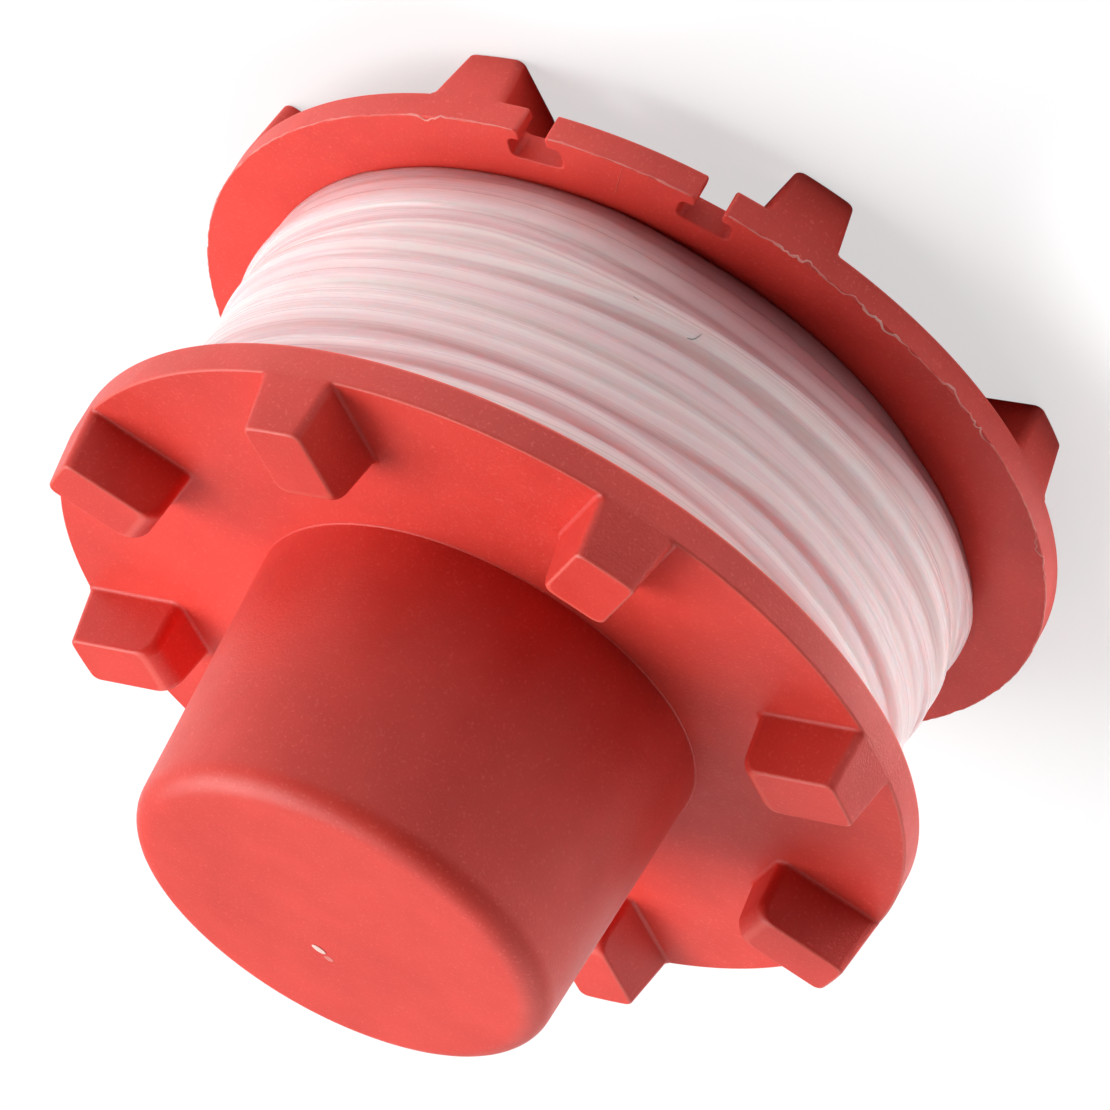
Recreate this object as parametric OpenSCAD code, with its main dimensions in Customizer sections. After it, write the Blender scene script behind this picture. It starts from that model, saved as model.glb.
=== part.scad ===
// Trimmer line spool: a moulded spool with a closed button, and the line wound on it.
// +Z runs along the spool's axis towards the button. The spool stands on its rear lugs at z = 0.

/* [Flanges] */
// Diameter of the front flange, the one that carries the button
flange_d = 64; // [58:0.5:80]
// Diameter of the rear flange
rear_flange_d = 64.6; // [58:0.1:80]
// Thickness of the front flange
front_t = 2.5; // [1.6:0.1:4]
// Thickness of the rear flange
rear_t = 2.1; // [1.4:0.1:4]
// Clear width between the flanges, which the line fills
winding_w = 19.8; // [10:0.1:30]
// Small bevel on the inner edge of each flange rim
rim_bevel = 0.3; // [0.1:0.05:0.6]

/* [Drum] */
// Outer diameter of the drum that the line is wound on
drum_d = 35; // [34:0.5:44]
// Wall of the drum and of the button
wall = 2; // [1.2:0.1:2.6]
// Bevel at the mouth of the bore in the rear flange
mouth_bevel = 0.6; // [0.2:0.1:1]

/* [Button] */
// Diameter of the button where it leaves the front flange
button_base_d = 33; // [30:0.5:34]
// Diameter that the button tapers to at its end, before the edge is rounded
button_end_d = 30.8; // [26:0.1:31]
// Height of the button above the front flange
button_h = 21; // [10:0.5:30]
// Radius of the button's outer edge
button_edge_r = 2; // [0.8:0.1:4]
// Thickness of the button's closed end
button_end_t = 2.4; // [1.6:0.1:5]
// Width of the fine line that the mould leaves round the foot of the button
witness_w = 0.3; // [0.1:0.05:0.6]

/* [Spring seat] */
// Inner diameter of the ring inside the button that the spring sits in
seat_d = 17; // [10:0.5:20]
// Wall of that ring
seat_wall = 1.4; // [0.8:0.1:2.5]
// Height of that ring
seat_h = 1.8; // [0.8:0.1:4]

/* [Lugs] */
// Number of lugs on each flange
lug_count = 8; // [4:1:10]
// Height of the lugs on the front flange
lug_h = 4.3; // [2:0.1:7]
// Height of the lugs on the rear flange
rear_lug_h = 4.1; // [2:0.1:7]
// Width of a lug at its foot
lug_w = 5.7; // [3.5:0.1:8]
// Length of a lug at its foot, measured inwards from the rim
lug_len = 8.2; // [4:0.1:9]
// Lean of each side of a lug, in degrees
lug_draft = 8; // [1:0.5:10]
// Lean of a lug's rim face, in degrees
lug_rim_draft = 7; // [1:0.5:10]
// Lean of a lug's inner end, in degrees
lug_nose_draft = 5; // [1:0.5:10]
// Radius of the two upright edges at the rim
lug_rim_r = 0.8; // [0.3:0.1:1.2]
// Radius of the two upright edges at the inner end
lug_inner_r = 0.9; // [0.3:0.1:1.2]
// Radius of the top edge at the inner end
lug_nose_r = 1.4; // [0.5:0.1:1.8]

/* [Line notches] */
// Angle from a lug's middle to the notch beside it, in degrees
notch_angle = 10.8; // [9:0.1:14]
// Width of the notch's neck at the rim
neck_w = 2; // [1.4:0.1:2.6]
// Length of the notch's eye along the rim
eye_w = 3.9; // [2.8:0.1:5]
// Height of the eye towards the axis
eye_h = 1.8; // [1:0.1:2.4]
// Depth of the whole notch from the rim
notch_depth = 2.9; // [2.6:0.1:4]
// Radius of the eye's corners
eye_corner_r = 0.45; // [0.1:0.05:0.48]

/* [Line] */
// Diameter of the line
line_d = 1.65; // [1.3:0.05:2.7]
// Depth from the front flange's rim down to the wound line
fill_depth = 4.2; // [1:0.1:8]
// Gap that keeps the wound line clear of the drum and the flanges
line_gap = 0.05; // [0.02:0.01:0.2]

/* [Hidden] */
$fn = 96;
// Overrun of cuts and of pieces that run into each other
over = 0.5;

flange_r = flange_d / 2;
rear_flange_r = rear_flange_d / 2;
drum_r = drum_d / 2;
bore_r = drum_r - wall;
button_base_r = button_base_d / 2;
button_end_r = button_end_d / 2;

// Heights of the faces, from the ends of the rear lugs up to the end of the button
rear_outer_z = rear_lug_h;
rear_inner_z = rear_outer_z + rear_t;
front_inner_z = rear_inner_z + winding_w;
front_outer_z = front_inner_z + front_t;
button_end_z = front_outer_z + button_h;
cavity_end_z = button_end_z - button_end_t;

// The button's taper, and the arc that rounds its edge
taper = atan((button_base_r - button_end_r) / button_h);
edge_z = button_end_z - button_edge_r;
edge_r = button_end_r + button_edge_r * tan(taper) - button_edge_r / cos(taper);

// The lugs run a little way into the flange, and stand a hair inside its rim
lug_root_share = 0.2;
lug_inset_share = 0.003;
// The nose's arc crosses the inner end instead of just touching it
nose_bite_share = 0.015;
lug_pitch = 360 / lug_count;
lug_rim_x = flange_r * (1 - lug_inset_share);
lug_inner_x = flange_r - lug_len;
lug_reach = lug_len + lug_w;
// The two notches lie either side of the front, which is the -Y direction
first_lug = -90 + lug_pitch / 2;

// How the turns of the line lie: each share is of the line's diameter.
// From the rear flange on, how far each turn of the outer layer lies below the highest
ride_shares = [0.75, 1.15, 1.3, 0.1, 0, 0.3, 0.15, 0.35, 0.05, 0.25, 0.6];
// How far a turn wanders to the side, once and twice round the drum
sway_share = 0.26;
second_sway_share = 0.12;
// How far a turn dips under its neighbours, and how deep the valleys and the shoulders are
dip_share = 0.28;
valley_share = 0.3;
shoulder_share = 0.22;
// Points across a turn, and steps round the winding
samples = 4;
around = 72;
// Angles that shift the wandering and the dip from one turn to the next
sway_shift = 97;
second_sway_shift = 61;
dip_shift = 131;

turns = floor((winding_w - 2 * line_gap) / line_d);
turn_pitch = (winding_w - 2 * line_gap) / turns;
wound_r = flange_r - fill_depth;
rows = turns * samples + 1;

// Half section of the two flanges, the drum and the button's tapered wall, still solid inside
module body_section() {
    polygon([
        [0, rear_outer_z],
        [rear_flange_r, rear_outer_z],
        [rear_flange_r, rear_inner_z - rim_bevel],
        [rear_flange_r - rim_bevel, rear_inner_z],
        [drum_r, rear_inner_z],
        [drum_r, front_inner_z],
        [flange_r - rim_bevel, front_inner_z],
        [flange_r, front_inner_z + rim_bevel],
        [flange_r, front_outer_z],
        [button_base_r + witness_w, front_outer_z],
        [button_base_r, front_outer_z + witness_w],
        [edge_r + button_edge_r * cos(taper), edge_z + button_edge_r * sin(taper)],
        [edge_r, edge_z],
        [edge_r, button_end_z],
        [0, button_end_z]
    ]);
    translate([edge_r, edge_z]) circle(r = button_edge_r);
}

// Inner radius for an outer one. The inside is never wider than the drum's, so that its core draws out.
function inner_r(outer_r) = min(outer_r, drum_r) - wall;

// Half section of the inside of the button, which tapers as its wall does
module button_cavity_section() {
    polygon([
        [0, front_inner_z],
        [inner_r(button_base_r), front_inner_z],
        [inner_r(button_end_r), cavity_end_z],
        [0, cavity_end_z]
    ]);
}

// Half section of the bevelled mouth of the bore
module mouth_section() {
    polygon([
        [0, rear_outer_z - over],
        [bore_r + mouth_bevel + over, rear_outer_z - over],
        [bore_r, rear_outer_z + mouth_bevel],
        [0, rear_outer_z + mouth_bevel]
    ]);
}

// The straight bore, the tapered inside of the button and the bevelled mouth
module hollow() {
    translate([0, 0, rear_outer_z - over]) cylinder(r = bore_r, h = front_inner_z - rear_outer_z + over);
    rotate_extrude() button_cavity_section();
    rotate_extrude() mouth_section();
}

// Ring on the inside of the closed end that keeps the spring central
module spring_seat() {
    seat_z = cavity_end_z - seat_h;
    difference() {
        translate([0, 0, seat_z]) cylinder(d = seat_d + 2 * seat_wall, h = seat_h + button_end_t / 2);
        translate([0, 0, seat_z - over]) cylinder(d = seat_d, h = seat_h + over);
    }
}

// Plan of a lug that points along +X, as its rim end has it: an arc along the rim and rounded corners
module rim_end_plan() {
    half_w = lug_w / 2;
    corner_y = half_w - lug_rim_r;
    corner_x = sqrt(pow(lug_rim_x - lug_rim_r, 2) - pow(corner_y, 2));
    start_x = lug_rim_x - lug_reach;
    intersection() {
        union() {
            translate([start_x, -half_w]) square([corner_x - start_x, lug_w]);
            translate([corner_x - lug_rim_r, -corner_y]) square([lug_rim_r + lug_rim_r, 2 * corner_y]);
            for (side = [-1, 1]) translate([corner_x, side * corner_y]) circle(r = lug_rim_r);
        }
        circle(r = lug_rim_x);
    }
}

// Plan of a lug that points along +X, as its inner end has it: straight, with rounded corners
module inner_end_plan() {
    half_w = lug_w / 2;
    corner_x = lug_inner_x + lug_inner_r;
    corner_y = half_w - lug_inner_r;
    translate([corner_x, -half_w]) square([lug_reach, lug_w]);
    translate([lug_inner_x, -corner_y]) square([lug_inner_r + over, 2 * corner_y]);
    for (side = [-1, 1]) translate([corner_x, side * corner_y]) circle(r = lug_inner_r);
}

// Side view that cuts a lug to its height and rounds its inner end into the top
module lug_side(height, root) {
    arc_z = height - lug_nose_r;
    arc_x = lug_inner_x + arc_z * tan(lug_nose_draft) + lug_nose_r * (1 - nose_bite_share);
    start_x = lug_rim_x - lug_reach;
    polygon([
        [start_x, -root],
        [start_x, arc_z],
        [arc_x, arc_z],
        [arc_x, height],
        [lug_rim_x + over, height],
        [lug_rim_x + over, -root]
    ]);
    translate([arc_x, arc_z]) circle(r = lug_nose_r);
}

// A tall prism that leans along X, about the point where it passes z = 0
module leaning_prism(x, angle) {
    translate([x, 0, 0])
        rotate([0, angle, 0])
            translate([-x, 0, -lug_reach]) linear_extrude(2 * lug_reach) children();
}

// One lug on +X with its foot at z = 0: what its leaning prisms and its side view share
module lug(height, root) {
    intersection() {
        intersection_for (side = [-1, 1])
            rotate([side * lug_draft, 0, 0])
                intersection() {
                    leaning_prism(lug_rim_x, -lug_rim_draft) rim_end_plan();
                    leaning_prism(lug_inner_x, lug_nose_draft) inner_end_plan();
                }
        translate([0, lug_w, 0]) rotate([90, 0, 0]) linear_extrude(2 * lug_w) lug_side(height, root);
    }
}

// The rings of lugs on the outer faces of both flanges
module lugs() {
    for (i = [0 : lug_count - 1])
        rotate([0, 0, first_lug + i * lug_pitch]) {
            translate([0, 0, front_outer_z]) lug(lug_h, front_t * lug_root_share);
            translate([rear_flange_r - flange_r, 0, rear_outer_z])
                mirror([0, 0, 1]) lug(rear_lug_h, rear_t * lug_root_share);
        }
}

// One notch on +X that holds an end of the line: a narrow neck that opens into a wider eye
module notch() {
    eye_x = rear_flange_r - notch_depth;
    translate([0, 0, rear_outer_z - over])
        linear_extrude(rear_t + 2 * over) {
            translate([eye_x + eye_h / 2, -neck_w / 2]) square([notch_depth - eye_h / 2 + over, neck_w]);
            translate([eye_x + eye_corner_r, -eye_w / 2]) square([eye_h - 2 * eye_corner_r, eye_w]);
            translate([eye_x, -eye_w / 2 + eye_corner_r]) square([eye_h, eye_w - 2 * eye_corner_r]);
            for (x = [eye_corner_r, eye_h - eye_corner_r], y = [-1, 1])
                translate([eye_x + x, y * (eye_w / 2 - eye_corner_r)]) circle(r = eye_corner_r);
        }
}

// The moulding: flanges, drum, closed button, lugs and notches in one piece
module spool_body() {
    color("firebrick")
        difference() {
            union() {
                difference() {
                    rotate_extrude() body_section();
                    hollow();
                }
                spring_seat();
                lugs();
            }
            rotate([0, 0, first_lug - notch_angle]) notch();
            rotate([0, 0, first_lug - lug_pitch + notch_angle]) notch();
        }
}

// Height of the valley between two turns at an angle. The outermost two lie flat on the flanges.
function valley_z(k, a) =
    k * turn_pitch + (k > 0 && k < turns ? line_d * sway(k, a) : 0);

// How far a valley wanders, as a share of the line's diameter
function sway(k, a) =
    sway_share * sin(a + k * sway_shift) + second_sway_share * sin(2 * a + k * second_sway_shift);

// Radius of a turn's crest at an angle, where it rides high or dips under its neighbours
function crest_r(k, a) =
    wound_r - line_d * (ride_shares[k % len(ride_shares)] + dip_share * (1 - cos(2 * a + k * dip_shift)) / 2);

// Radius of the valley under turn k, which follows the lower of the two turns beside it
function valley_r(k, a) =
    min(crest_r(max(k - 1, 0), a), crest_r(min(k, turns - 1), a)) - line_d * valley_share;

// Radius of the wound surface at a share of a turn's width: valley, shoulder, crest, shoulder
function turn_r(k, part_share, a) =
    part_share == 0 ? valley_r(k, a) : crest_r(k, a) - (part_share == 0.5 ? 0 : line_d * shoulder_share / 2);

// A point of the wound surface, on one row of points
function wound_point(row, a) =
    let (
        k = floor(row / samples),
        part_share = row / samples - k,
        r = k == turns ? valley_r(k, a) : turn_r(k, part_share, a),
        z = valley_z(k, a) + (part_share == 0 ? 0 : part_share * (valley_z(k + 1, a) - valley_z(k, a)))
    )
    [r * cos(a), r * sin(a), z];

// The skin of the winding, one row of points for each part of each turn, closed at both ends
module wound_skin() {
    ring = [for (row = [0 : rows - 1], j = [0 : around - 1]) wound_point(row, j * 360 / around)];
    low = rows * around;
    high = low + 1;
    ends = [[0, 0, 0], [0, 0, turns * turn_pitch]];
    sides = [
        for (row = [0 : rows - 2], j = [0 : around - 1])
            let (a = row * around + j, b = row * around + (j + 1) % around)
            for (face = [[a, a + around, b], [b, a + around, b + around]]) face
    ];
    floor_faces = [for (j = [0 : around - 1]) [low, j, (j + 1) % around]];
    top_row = (rows - 1) * around;
    roof_faces = [for (j = [0 : around - 1]) [high, top_row + (j + 1) % around, top_row + j]];
    polyhedron(points = concat(ring, ends), faces = concat(sides, floor_faces, roof_faces));
}

// The line as it lies on the drum: one closed solid whose skin shows the turns
module wound_line() {
    color("mistyrose")
        difference() {
            translate([0, 0, rear_inner_z + line_gap]) wound_skin();
            translate([0, 0, rear_inner_z - over]) cylinder(r = drum_r + line_gap, h = winding_w + 2 * over);
        }
}

spool_body();
wound_line();
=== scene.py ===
import math

import bpy
import numpy as np
from mathutils import Matrix


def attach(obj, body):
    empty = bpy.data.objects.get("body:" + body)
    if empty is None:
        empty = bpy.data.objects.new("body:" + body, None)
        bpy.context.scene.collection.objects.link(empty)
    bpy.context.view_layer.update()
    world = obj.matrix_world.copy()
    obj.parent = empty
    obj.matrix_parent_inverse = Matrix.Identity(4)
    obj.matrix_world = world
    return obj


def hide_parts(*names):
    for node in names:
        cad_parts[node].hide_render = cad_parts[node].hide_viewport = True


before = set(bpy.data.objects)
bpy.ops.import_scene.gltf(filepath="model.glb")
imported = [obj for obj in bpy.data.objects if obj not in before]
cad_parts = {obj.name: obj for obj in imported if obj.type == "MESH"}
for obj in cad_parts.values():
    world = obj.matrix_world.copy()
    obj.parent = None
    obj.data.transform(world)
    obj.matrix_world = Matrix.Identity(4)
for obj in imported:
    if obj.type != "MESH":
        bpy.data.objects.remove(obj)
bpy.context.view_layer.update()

MM = 0.001

# Sizes in millimetres and angles in degrees, as in the CAD part
FLANGE_R = 32.0
REAR_FLANGE_R = 32.3
REAR_OUTER_Z = 4.1
REAR_INNER_Z = 6.2
FRONT_INNER_Z = 26.0
FRONT_OUTER_Z = 28.5
BUTTON_END_Z = 49.5
BUTTON_BASE_R = 16.5
BUTTON_END_R = 15.4
BUTTON_EDGE_R = 2.0
DRUM_R = 17.5
BORE_R = 15.5
CAVITY_BASE_R = 14.5
CAVITY_END_R = 13.4
CAVITY_END_Z = 47.1
SEAT_OUTER_R = 9.9
SEAT_INNER_R = 8.5
SEAT_H = 1.8
LUG_COUNT = 8
LUG_ANGLE = 22.5
LUG_W = 5.7
LUG_LEN = 8.2
LUG_H = 4.3
REAR_LUG_H = 4.1
LINE_D = 1.65
LINE_GAP = 0.05
NOTCH_ANGLES = (-78.3, -101.7)
NOTCH_DEPTH = 2.9
NOTCH_EYE_LEN = 1.8
NOTCH_EYE_W = 3.9
NOTCH_NECK_W = 2.0


# Mesh helpers

def points_of(mesh):
    """The mesh's points as rows (x, y, z), in metres."""
    at = np.empty(len(mesh.vertices) * 3)
    mesh.vertices.foreach_get("co", at)
    return at.reshape(-1, 3)


def set_uv(mesh, name, values):
    """A UV map from one (u, v) pair a vertex."""
    layer = mesh.uv_layers.new(name=name)
    at = np.empty(len(mesh.loops), dtype=np.int32)
    mesh.loops.foreach_get("vertex_index", at)
    layer.data.foreach_set("uv", np.asarray(values, np.float32)[at].ravel())


def smoothed(mesh, sharp_deg):
    """Smooth shading, apart from edges sharper than sharp_deg."""
    mesh.polygons.foreach_set("use_smooth", [True] * len(mesh.polygons))
    mesh.set_sharp_from_angle(angle=math.radians(sharp_deg))


def make_object(name, verts, faces, material, sharp_deg=40.0):
    """An object from points in millimetres."""
    mesh = bpy.data.meshes.new(name)
    points = [tuple(v) for v in np.asarray(verts, float) * MM]
    mesh.from_pydata(points, [], [tuple(f) for f in faces])
    mesh.validate()
    mesh.materials.append(material)
    obj = bpy.data.objects.new(name, mesh)
    bpy.context.scene.collection.objects.link(obj)
    smoothed(mesh, sharp_deg)
    return obj


def joined(a, b):
    """Adds b's mesh to a's."""
    verts = np.concatenate([points_of(a.data), points_of(b.data)])
    start = len(a.data.vertices)
    faces = [tuple(p.vertices) for p in a.data.polygons]
    faces += [tuple(i + start for i in p.vertices) for p in b.data.polygons]
    mesh = bpy.data.meshes.new(a.name)
    mesh.from_pydata(verts, [], faces)
    mesh.materials.append(a.data.materials[0])
    old = a.data
    a.data = mesh
    bpy.data.meshes.remove(old)
    bpy.data.objects.remove(b)


def arc(x, y, r, start, end, count):
    """Points on an arc round (x, y), between two angles in degrees."""
    angles = [math.radians(start + (end - start) * k / (count - 1)) for k in range(count)]
    return [(x + r * math.cos(a), y + r * math.sin(a)) for a in angles]


def fallen(r, away):
    """How far a rounding of radius r has fallen back at a distance past its start, and 0 before it."""
    return r - math.sqrt(max(r**2 - max(away, 0.0)**2, 0.0))


def filleted(before, corner, after, steps):
    """The points (r, z) of a corner (r, z, fillet): an arc, or the corner itself where the fillet is 0."""
    p = np.array(corner[:2])
    fillet = corner[2]
    if fillet <= 0:
        return [p]
    a = np.array(before[:2]) - p
    b = np.array(after[:2]) - p
    a /= np.linalg.norm(a)
    b /= np.linalg.norm(b)
    half = math.acos(np.clip(a @ b, -1, 1)) / 2
    run = fillet / math.tan(half)
    middle = (a + b) / np.linalg.norm(a + b)
    centre = p + middle * fillet / math.sin(half)
    start = p + a * run - centre
    end = p + b * run - centre
    first = math.atan2(start[1], start[0])
    last = math.atan2(end[1], end[0])
    sweep = (last - first + math.pi) % (2 * math.pi) - math.pi
    turns = [first + sweep * k / steps for k in range(steps + 1)]
    return [centre + fillet * np.array([math.cos(t), math.sin(t)]) for t in turns]


def lathe(points, segments):
    """Points (r, z) turned round Z, from pole to pole. The first and the last lie on the axis."""
    verts = [(0.0, 0.0, points[0][1])]
    rings = [[0]]
    for r, z in points[1:-1]:
        start = len(verts)
        for j in range(segments):
            t = 2 * math.pi * j / segments
            verts.append((r * math.cos(t), r * math.sin(t), z))
        rings.append(list(range(start, start + segments)))
    rings.append([len(verts)])
    verts.append((0.0, 0.0, points[-1][1]))
    faces = []
    for a, b in zip(rings[:-1], rings[1:]):
        for j in range(segments):
            k = (j + 1) % segments
            if len(a) == 1:
                faces.append((a[0], b[j], b[k]))
            elif len(b) == 1:
                faces.append((a[j], b[0], a[k]))
            else:
                faces.append((a[j], b[j], b[k], a[k]))
    return verts, faces


def stacked(outlines, close_first=False):
    """Closed outlines of equal length joined into a skin, with the last one filled."""
    verts, faces = [], []
    n = len(outlines[0])
    for outline in outlines:
        verts.extend(outline)
    for i in range(len(outlines) - 1):
        for j in range(n):
            k = (j + 1) % n
            faces.append((i * n + j, i * n + k, (i + 1) * n + k, (i + 1) * n + j))
    if close_first:
        faces.append(tuple(range(n - 1, -1, -1)))
    faces.append(tuple((len(outlines) - 1) * n + j for j in range(n)))
    return verts, faces


def turned(verts, degrees):
    """Verts turned round Z."""
    a = math.radians(degrees)
    rot = np.array([[math.cos(a), -math.sin(a), 0], [math.sin(a), math.cos(a), 0], [0, 0, 1]])
    return np.array(verts, float) @ rot.T


TUBE_SIDES = 6


def tube(path, radius):
    """A closed tube along a path of points. Its radius may vary along it."""
    p = np.asarray(path, float)
    n = len(p)
    ahead = np.roll(p, -1, axis=0)
    behind = np.roll(p, 1, axis=0)
    ahead[-1] = p[-1]
    behind[0] = p[0]
    tangent = ahead - behind
    tangent /= np.linalg.norm(tangent, axis=1)[:, None]
    out = np.stack([p[:, 0], p[:, 1], np.zeros(n)], 1)
    out /= np.linalg.norm(out, axis=1)[:, None]
    side = np.cross(tangent, out)
    side /= np.linalg.norm(side, axis=1)[:, None]
    out = np.cross(side, tangent)
    radius = np.broadcast_to(radius, (n,))
    verts, faces = [], []
    for i in range(n):
        for k in range(TUBE_SIDES):
            a = 2 * math.pi * k / TUBE_SIDES
            verts.append(p[i] + radius[i] * (math.cos(a) * out[i] + math.sin(a) * side[i]))
    for i in range(0, (n - 1) * TUBE_SIDES, TUBE_SIDES):
        for k in range(TUBE_SIDES):
            m = (k + 1) % TUBE_SIDES
            faces.append((i + k, i + TUBE_SIDES + k, i + TUBE_SIDES + m, i + m))
    faces.append(tuple(range(TUBE_SIDES)))
    faces.append(tuple((n - 1) * TUBE_SIDES + k for k in range(TUBE_SIDES - 1, -1, -1)))
    return verts, faces


def merged(parts):
    """Several (verts, faces) as one."""
    verts, faces = [], []
    for v, f in parts:
        start = len(verts)
        verts.extend([tuple(p) for p in v])
        faces.extend([tuple(i + start for i in face) for face in f])
    return verts, faces


# Material helpers

def node(tree, kind, **values):
    """A new node, with inputs and settings given by name."""
    n = tree.nodes.new(kind)
    for key, value in values.items():
        if key in n.inputs:
            n.inputs[key].default_value = value
        else:
            setattr(n, key, value)
    return n


def noise(tree, vector, scale, detail, roughness=0.5):
    n = node(tree, "ShaderNodeTexNoise", Scale=scale, Detail=detail, Roughness=roughness)
    tree.links.new(vector, n.inputs["Vector"])
    return n.outputs["Fac"]


def stretched(tree, vector, scale, location=(0.0, 0.0, 0.0)):
    n = node(tree, "ShaderNodeMapping", Scale=scale, Location=location)
    tree.links.new(vector, n.inputs["Vector"])
    return n.outputs["Vector"]


def parts_of(tree, vector):
    """A vector's x, y and z."""
    n = node(tree, "ShaderNodeSeparateXYZ")
    tree.links.new(vector, n.inputs["Vector"])
    return n.outputs["X"], n.outputs["Y"], n.outputs["Z"]


def vector_of(tree, **parts):
    """A vector from parts named X, Y and Z. A part that isn't given is 0."""
    n = node(tree, "ShaderNodeCombineXYZ")
    for key, value in parts.items():
        tree.links.new(value, n.inputs[key])
    return n.outputs["Vector"]


def uv_map(tree, name):
    """A UV map's u and v."""
    u, v, _ = parts_of(tree, node(tree, "ShaderNodeUVMap", uv_map=name).outputs["UV"])
    return u, v


def ramp(tree, value, *stops):
    """A colour ramp between two (position, colour) stops."""
    n = node(tree, "ShaderNodeValToRGB")
    for element, (position, colour) in zip(n.color_ramp.elements, stops):
        element.position = position
        element.color = (*colour, 1)
    tree.links.new(value, n.inputs["Fac"])
    return n.outputs["Color"]


def ranged(tree, value, start, end, to_start, to_end):
    """A value's range from start to end, mapped to another range and held within it."""
    n = node(tree, "ShaderNodeMapRange")
    for key, number in zip(("From Min", "From Max", "To Min", "To Max"), (start, end, to_start, to_end)):
        n.inputs[key].default_value = number
    tree.links.new(value, n.inputs["Value"])
    return n.outputs["Result"]


def mixed(tree, share, ground, colour):
    """The ground's colour, with a share of another colour over it."""
    n = node(tree, "ShaderNodeMix", data_type="RGBA")
    n.inputs["B"].default_value = (*colour, 1)
    tree.links.new(share, n.inputs["Factor"])
    tree.links.new(ground, n.inputs["A"])
    return n.outputs["Result"]


def summed(tree, a, b):
    """The sum of two values, no more than 1."""
    n = node(tree, "ShaderNodeMath", operation="ADD", use_clamp=True)
    tree.links.new(a, n.inputs[0])
    tree.links.new(b, n.inputs[1])
    return n.outputs["Value"]


def bumped(tree, height, strength, distance, normal=None):
    n = node(tree, "ShaderNodeBump", Strength=strength, Distance=distance)
    tree.links.new(height, n.inputs["Height"])
    if normal:
        tree.links.new(normal, n.inputs["Normal"])
    return n.outputs["Normal"]


def shaders_mixed(tree, share, a, b):
    n = node(tree, "ShaderNodeMixShader")
    tree.links.new(share, n.inputs["Fac"])
    tree.links.new(a, n.inputs[1])
    tree.links.new(b, n.inputs[2])
    return n.outputs["Shader"]


def plastic(name, surface, weight, radius, scale):
    """A plastic that scatters light inside. surface(tree, place) gives its colour, roughness and normal."""
    mat = bpy.data.materials.new(name)
    mat.use_nodes = True
    tree = mat.node_tree
    bsdf = tree.nodes["Principled BSDF"]
    place = node(tree, "ShaderNodeTexCoord").outputs["Object"]
    for key, value in zip(("Base Color", "Roughness", "Normal"), surface(tree, place)):
        tree.links.new(value, bsdf.inputs[key])
    bsdf.inputs["IOR"].default_value = 1.5
    bsdf.inputs["Subsurface Weight"].default_value = weight
    bsdf.inputs["Subsurface Radius"].default_value = radius
    bsdf.inputs["Subsurface Scale"].default_value = scale
    return mat


# Materials, with colours as linear red, green and blue

RED_DEEP = (0.67, 0.038, 0.025)
RED_BRIGHT = (0.81, 0.058, 0.039)
RED_SPECK = (0.95, 0.16, 0.12)
RED_EDGE_HIGHLIGHT = (0.92, 0.20, 0.15)
# A painted highlight along the rounded edges of the rims and the lugs' tops
RED_PALE = (1.0, 0.72, 0.64)
BLACK = (0.0, 0.0, 0.0)
SPECK_SHARE = (0.38, 0.38, 0.38)

LINE_ROSE = (0.93, 0.675, 0.705)
LINE_MILK = (0.99, 0.84, 0.81)
LINE_MAUVE = (0.83, 0.58, 0.62)
# Painted shade of the creases between turns
LINE_CREASE_SHADE = (0.60, 0.43, 0.46)
# Red over the line: the drum showing through, painted shade of sunk turns and painted bounce light from the
# rear flange
LINE_RED_SHADE_AND_BOUNCE = (0.66, 0.28, 0.30)
LINE_SCRATCH = (0.34, 0.12, 0.12)
# Where the roll's radius is under the first of these (mm) it turns red and darker, most at the second: the
# drum's red through the thinner roll, partly painted shade of the sunk turns
THIN_FROM_R = 27.35
THIN_TO_R = 26.65
# The turns beside the rear flange get a painted red bounce light from it, from the first height down to the
# second (mm)
REAR_BOUNCE_FROM_Z = 12.5
REAR_BOUNCE_TO_Z = 9.5


def red_surface(tree, place):
    """Clouded red with specks. The map "marks" holds a painted highlight along rounded edges (u), and the
    flash and gate scar (v).
    """
    clouds = noise(tree, place, scale=90.0, detail=3.0, roughness=0.6)
    colour = ramp(tree, clouds, (0.3, RED_DEEP), (0.7, RED_BRIGHT))
    specks = noise(tree, place, scale=4300.0, detail=2.0)
    specks = ramp(tree, specks, (0.58, BLACK), (0.74, SPECK_SHARE))
    edge_highlight, pale = uv_map(tree, "marks")
    # The u of "marks" is a painted highlight along rounded edges
    for share, over in ((specks, RED_SPECK), (edge_highlight, RED_EDGE_HIGHLIGHT), (pale, RED_PALE)):
        colour = mixed(tree, share, colour, over)
    matt = noise(tree, place, scale=420.0, detail=4.0, roughness=0.6)
    matt = ranged(tree, matt, 0.0, 1.0, 0.40, 0.56)
    grain = noise(tree, place, scale=5200.0, detail=3.0, roughness=0.65)
    grain = bumped(tree, grain, strength=0.7, distance=0.04 * MM)
    waves = noise(tree, place, scale=260.0, detail=2.0)
    waves = bumped(tree, waves, strength=0.25, distance=0.12 * MM, normal=grain)
    return colour, matt, waves


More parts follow.
